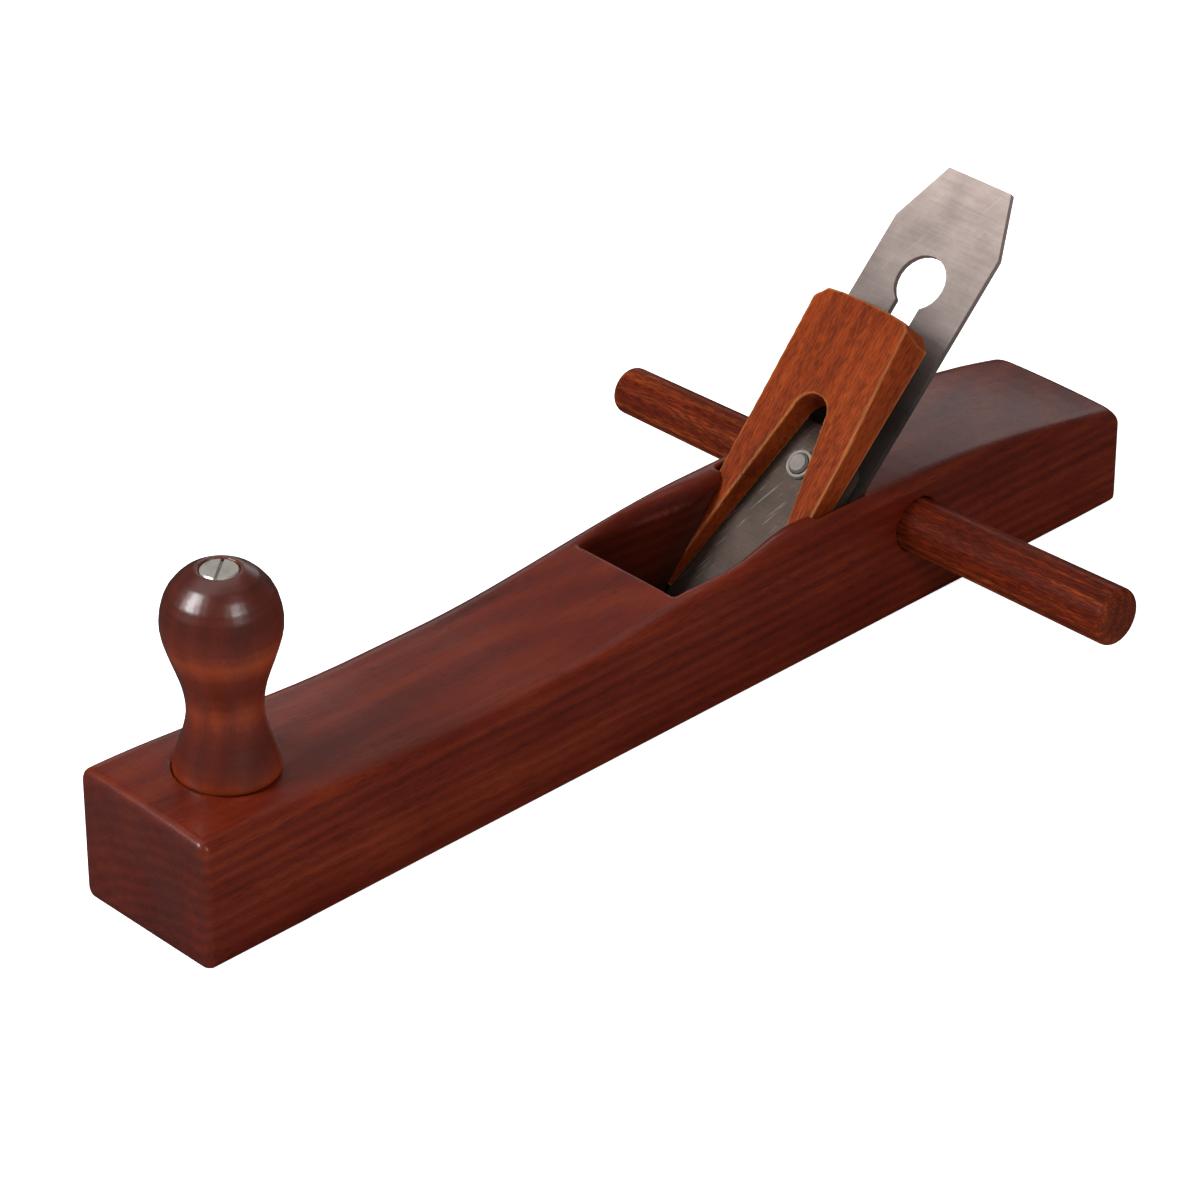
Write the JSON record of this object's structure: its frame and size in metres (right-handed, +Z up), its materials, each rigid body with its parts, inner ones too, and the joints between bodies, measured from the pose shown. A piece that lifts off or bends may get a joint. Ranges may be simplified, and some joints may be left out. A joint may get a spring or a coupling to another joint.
{
  "type": "wooden bench plane",
  "caption": "Wooden hand plane: waved stock, turned front knob, cross handle bar, and a double iron held in the throat by a forked wedge.",
  "frame": {"origin": "middle of the sole", "axes": "+X to the toe (the knob's end), +Y across the plane to the side of the handle bar's thick end, +Z up from the sole"},
  "size_m": [0.452, 0.2433, 0.141],
  "materials": {
    "stock_wood": "satin lacquer",
    "iron_steel": "ground",
    "cap_iron_steel": "ground, slightly darkened",
    "bush_steel": "turned",
    "screw_steel": "bright",
    "wedge_wood": "thin lacquer",
    "handle_wood": "thin lacquer",
    "knob_wood": "gloss lacquer",
    "knob_screw_steel": "bright"
  },
  "bodies": {
    "stock": {"stock": "stock_wood"},
    "iron": {"plane_iron": "iron_steel"},
    "cap": {"cap_iron": "cap_iron_steel", "cap_iron_bush": "bush_steel"},
    "cap_screw": {"cap_iron_screw": "screw_steel"},
    "wedge": {"wedge": "wedge_wood"},
    "handle": {"cross_handle": "handle_wood"},
    "knob": {"front_knob": "knob_wood"},
    "knob_screw": {"knob_screw": "knob_screw_steel"}
  },
  "joints": [
    {"name": "iron_slide", "type": "slide", "parent": "stock", "child": "iron", "axis": [-0.7071, 0, 0.7071], "range_m": [-0.0007, 0.06]},
    {"name": "wedge_slide", "type": "slide", "parent": "iron", "child": "wedge", "axis": [-0.7071, 0, 0.7071], "range_m": [0, 0.06]},
    {"name": "cap_iron_slide", "type": "slide", "parent": "iron", "child": "cap", "axis": [-0.7071, 0, 0.7071], "range_m": [0, 0.012]},
    {"name": "cap_screw_turn", "type": "hinge", "parent": "cap", "child": "cap_screw", "pos_m": [-0.09139, 0, 0.05074], "axis": [0.7071, 0, 0.7071], "continuous": true},
    {"name": "handle_slide", "type": "slide", "parent": "stock", "child": "handle", "axis": [-0.0339, 0.9994, 0], "range_m": [0, 0.06]},
    {"name": "knob_turn", "type": "hinge", "parent": "stock", "child": "knob", "pos_m": [0.188, 0, 0.0487], "axis": [0, 0, 1], "continuous": true},
    {"name": "knob_screw_turn", "type": "hinge", "parent": "stock", "child": "knob_screw", "pos_m": [0.188, 0, 0.1], "axis": [0, 0, 1], "continuous": true}
  ]
}
